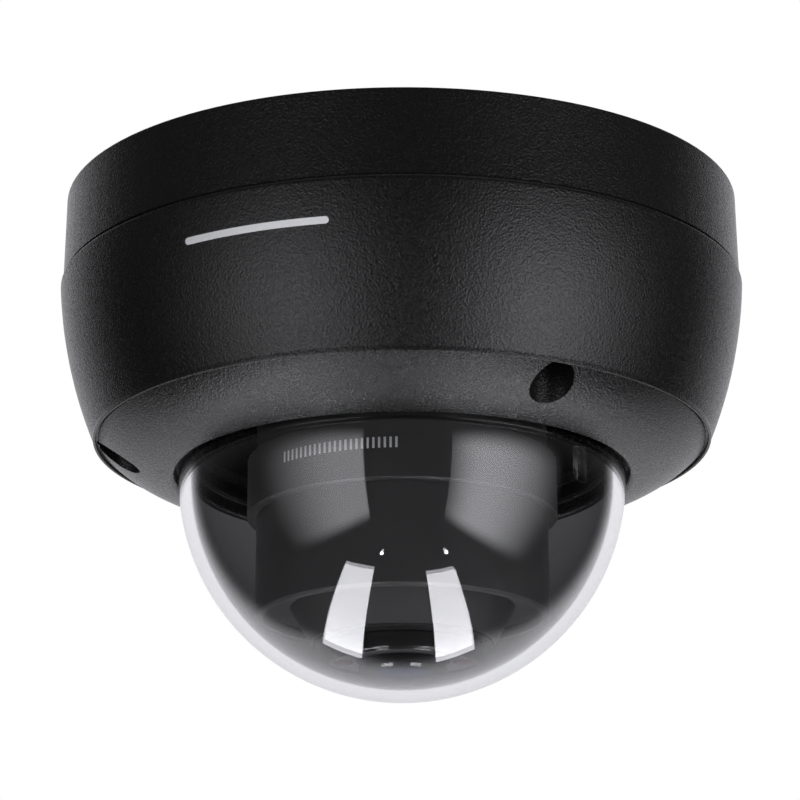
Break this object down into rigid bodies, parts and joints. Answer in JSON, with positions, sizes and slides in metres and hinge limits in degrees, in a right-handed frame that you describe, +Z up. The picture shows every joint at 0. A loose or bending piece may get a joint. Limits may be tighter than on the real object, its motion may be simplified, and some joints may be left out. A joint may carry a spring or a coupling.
{
  "type": "dome camera",
  "caption": "Black ceiling dome camera: a round cast base and bulging cover hold a clear bubble, inside which a lens unit pans, tilts and rotates.",
  "frame": {"origin": "middle of the base's ceiling face", "axes": "+Z up into the ceiling, so the camera hangs in -Z; -Y is the camera's front and +X is to its right seen from the front"},
  "size_m": [0.111, 0.111, 0.0824],
  "materials": {
    "powder_coat": "fine black powder coat on cast aluminium",
    "black_plastic": "fine matte moulded plastic",
    "gloss_black": "polished black",
    "rubber": "smooth black rubber",
    "steel": "plain stainless steel",
    "clear_bubble": "clear polished polycarbonate",
    "lens_glass": "coated glass",
    "lamp_lens": "dark red infra-red window",
    "filter_glass": "tinted filter glass",
    "board": "green solder mask",
    "chip": "black chip packages",
    "capacitor_sleeve": "dark sleeves",
    "connector_white": "off-white nylon",
    "ribbon": "amber polyimide",
    "pad": "soft grey-blue pad",
    "button_red": "red plastic",
    "washer_nylon": "natural nylon",
    "slider": "thin dark frame",
    "copper": "wound copper",
    "emitter": "phosphor-yellow emitters"
  },
  "bodies": {
    "root": {"base_housing": "powder_coat", "side_outlet_plug": "black_plastic", "cable_grommet": "rubber", "cover_gasket": "rubber", "dome_cover": "powder_coat", "cover_screws": "steel", "screw_seals": "rubber", "bubble": "clear_bubble", "bubble_gasket": "rubber", "bubble_retainer": "black_plastic", "retainer_screws": "steel", "safety_lanyard": "steel", "lanyard_screws": "steel", "main_board": "board", "board_screws": "steel", "image_processor": "chip", "thermal_pad": "pad", "network_transformer": "chip", "capacitors": "capacitor_sleeve", "board_connectors": "connector_white", "sd_card_slot": "steel", "reset_switch": "chip", "sensor_flex": "ribbon", "turret_base": "black_plastic", "turret_screws": "steel", "friction_ring": "rubber", "pan_retainer": "black_plastic"},
    "reset": {"reset_button": "button_red"},
    "pan": {"pan_bracket": "black_plastic", "turret_drum": "black_plastic", "drum_screws": "steel"},
    "tilt": {"tilt_cradle": "powder_coat", "tilt_pivots": "steel", "tilt_washers": "washer_nylon"},
    "lens": {"lens_carrier": "black_plastic", "rotation_ring": "black_plastic", "ring_screws": "steel", "front_bezel": "gloss_black", "front_plate": "black_plastic", "lens_barrel": "gloss_black", "front_lens": "lens_glass", "lens_lock_ring": "steel", "lens_seal": "rubber", "lens_mount": "black_plastic", "sensor_board": "board", "image_sensor": "chip", "filter_solenoid": "copper", "lamp_board": "board", "lamp_emitters": "emitter", "lamp_lenses": "lamp_lens"},
    "filter": {"filter_slider": "slider", "filter_glasses": "filter_glass"}
  },
  "joints": [
    {"name": "pan", "type": "hinge", "parent": "root", "child": "pan", "pos_m": [0, 0, -0.0464], "axis": [0, 0, 1], "range_deg": [0, 355]},
    {"name": "tilt", "type": "hinge", "parent": "pan", "child": "tilt", "pos_m": [0, 0, -0.0464], "axis": [1, 0, 0], "range_deg": [0, 75]},
    {"name": "rotate", "type": "hinge", "parent": "tilt", "child": "lens", "pos_m": [0, 0, -0.0464], "axis": [0, 0, 1], "range_deg": [0, 355]},
    {"name": "filter_slide", "type": "slide", "parent": "lens", "child": "filter", "axis": [1, 0, 0], "range_m": [0, 0.006]},
    {"name": "reset_press", "type": "slide", "parent": "root", "child": "reset", "axis": [0, 0, 1], "range_m": [0, 0.00025], "stiffness_N_per_m": 800}
  ]
}
